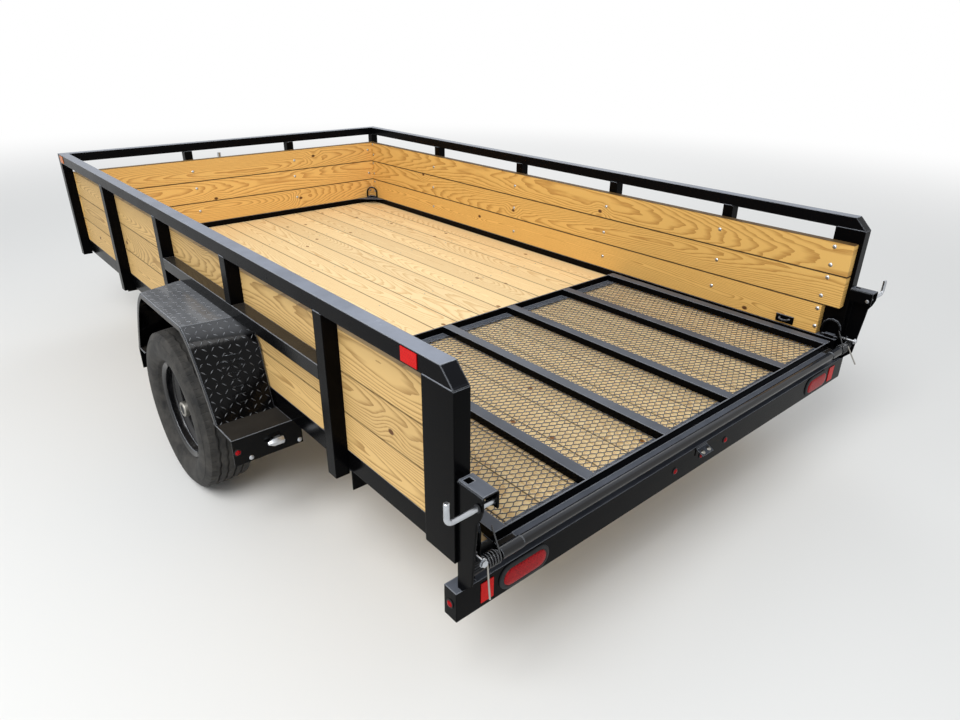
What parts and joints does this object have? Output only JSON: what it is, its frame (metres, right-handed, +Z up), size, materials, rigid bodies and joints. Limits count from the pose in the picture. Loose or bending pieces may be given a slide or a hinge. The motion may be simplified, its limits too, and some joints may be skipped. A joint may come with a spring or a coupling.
{
  "type": "single-axle utility trailer",
  "caption": "Open utility trailer with timber sides, tube top rail, fendered wheels, A-frame tongue with jack and coupler, and a fold-flat mesh ramp gate.",
  "frame": {"origin": "on the ground under the middle of the trailer's box, tongue and coupler included", "axes": "+X forward towards the coupler, +Y to the trailer's left, +Z up"},
  "size_m": [5.119, 2.669, 1.078],
  "materials": {
    "amber_lens": "clear amber moulded lens",
    "axle_paint": "satin black paint",
    "black_paint": "gloss black powder coat",
    "deck_pine": "sawn pine",
    "red_lens": "clear red moulded lens",
    "rubber": "matte moulded rubber",
    "spring_steel": "satin black",
    "treated_pine": "sawn pressure-treated pine",
    "tyre": "matte rubber",
    "wheel_paint": "gloss black enamel",
    "zinc_plate": "bright zinc plate"
  },
  "bodies": {
    "root": {"amber_reflectors": "amber_lens", "anchor_bolts": "zinc_plate", "axle": "axle_paint", "coil_springs": "spring_steel", "coupler": "black_paint", "coupler_latch": "zinc_plate", "crossmembers": "black_paint", "deck_boards": "deck_pine", "fender_brackets": "black_paint", "fender_left": "black_paint", "fender_right": "black_paint", "frame_front": "black_paint", "frame_rails": "black_paint", "front_boards": "treated_pine", "hinge_bolts": "zinc_plate", "jack_crank": "zinc_plate", "jack_tube": "black_paint", "lamp_grommets": "rubber", "latch_pins": "zinc_plate", "latch_stand_left": "black_paint", "latch_stand_right": "black_paint", "leaf_springs": "spring_steel", "marker_lamps": "red_lens", "mid_rails": "black_paint", "posts_front": "black_paint", "posts_side": "black_paint", "rear_beam": "black_paint", "red_reflectors": "red_lens", "side_boards_left": "treated_pine", "side_boards_right": "treated_pine", "spring_hangers": "black_paint", "tail_lamps": "red_lens", "tie_rings": "black_paint", "tongue_channels": "black_paint", "top_rail_front": "black_paint", "top_rail_left": "black_paint", "top_rail_right": "black_paint", "u_bolts": "zinc_plate"},
    "wheel_left_body": {"hub_left": "zinc_plate", "lug_nuts_left": "zinc_plate", "rim_left": "wheel_paint", "tyre_left": "tyre"},
    "wheel_right_body": {"hub_right": "zinc_plate", "lug_nuts_right": "zinc_plate", "rim_right": "wheel_paint", "tyre_right": "tyre"},
    "gate": {"gate_barrels": "black_paint", "gate_frame": "black_paint", "gate_mesh": "black_paint"},
    "jack_foot_leg": {"jack_leg": "zinc_plate"}
  },
  "joints": [
    {"name": "wheel_left_spin", "type": "hinge", "parent": "root", "child": "wheel_left_body", "pos_m": [-0.86568, 1.233, 0.34], "axis": [0, 1, 0], "continuous": true},
    {"name": "wheel_right_spin", "type": "hinge", "parent": "root", "child": "wheel_right_body", "pos_m": [-0.86568, -1.233, 0.34], "axis": [0, 1, 0], "continuous": true},
    {"name": "gate_hinge", "type": "hinge", "parent": "root", "child": "gate", "pos_m": [-2.5015, 0, 0.513], "axis": [0, -1, 0], "range_deg": [0, 201]},
    {"name": "jack_slide", "type": "slide", "parent": "root", "child": "jack_foot_leg", "axis": [0, 0, 1], "range_m": [-0.06, 0.18]}
  ]
}
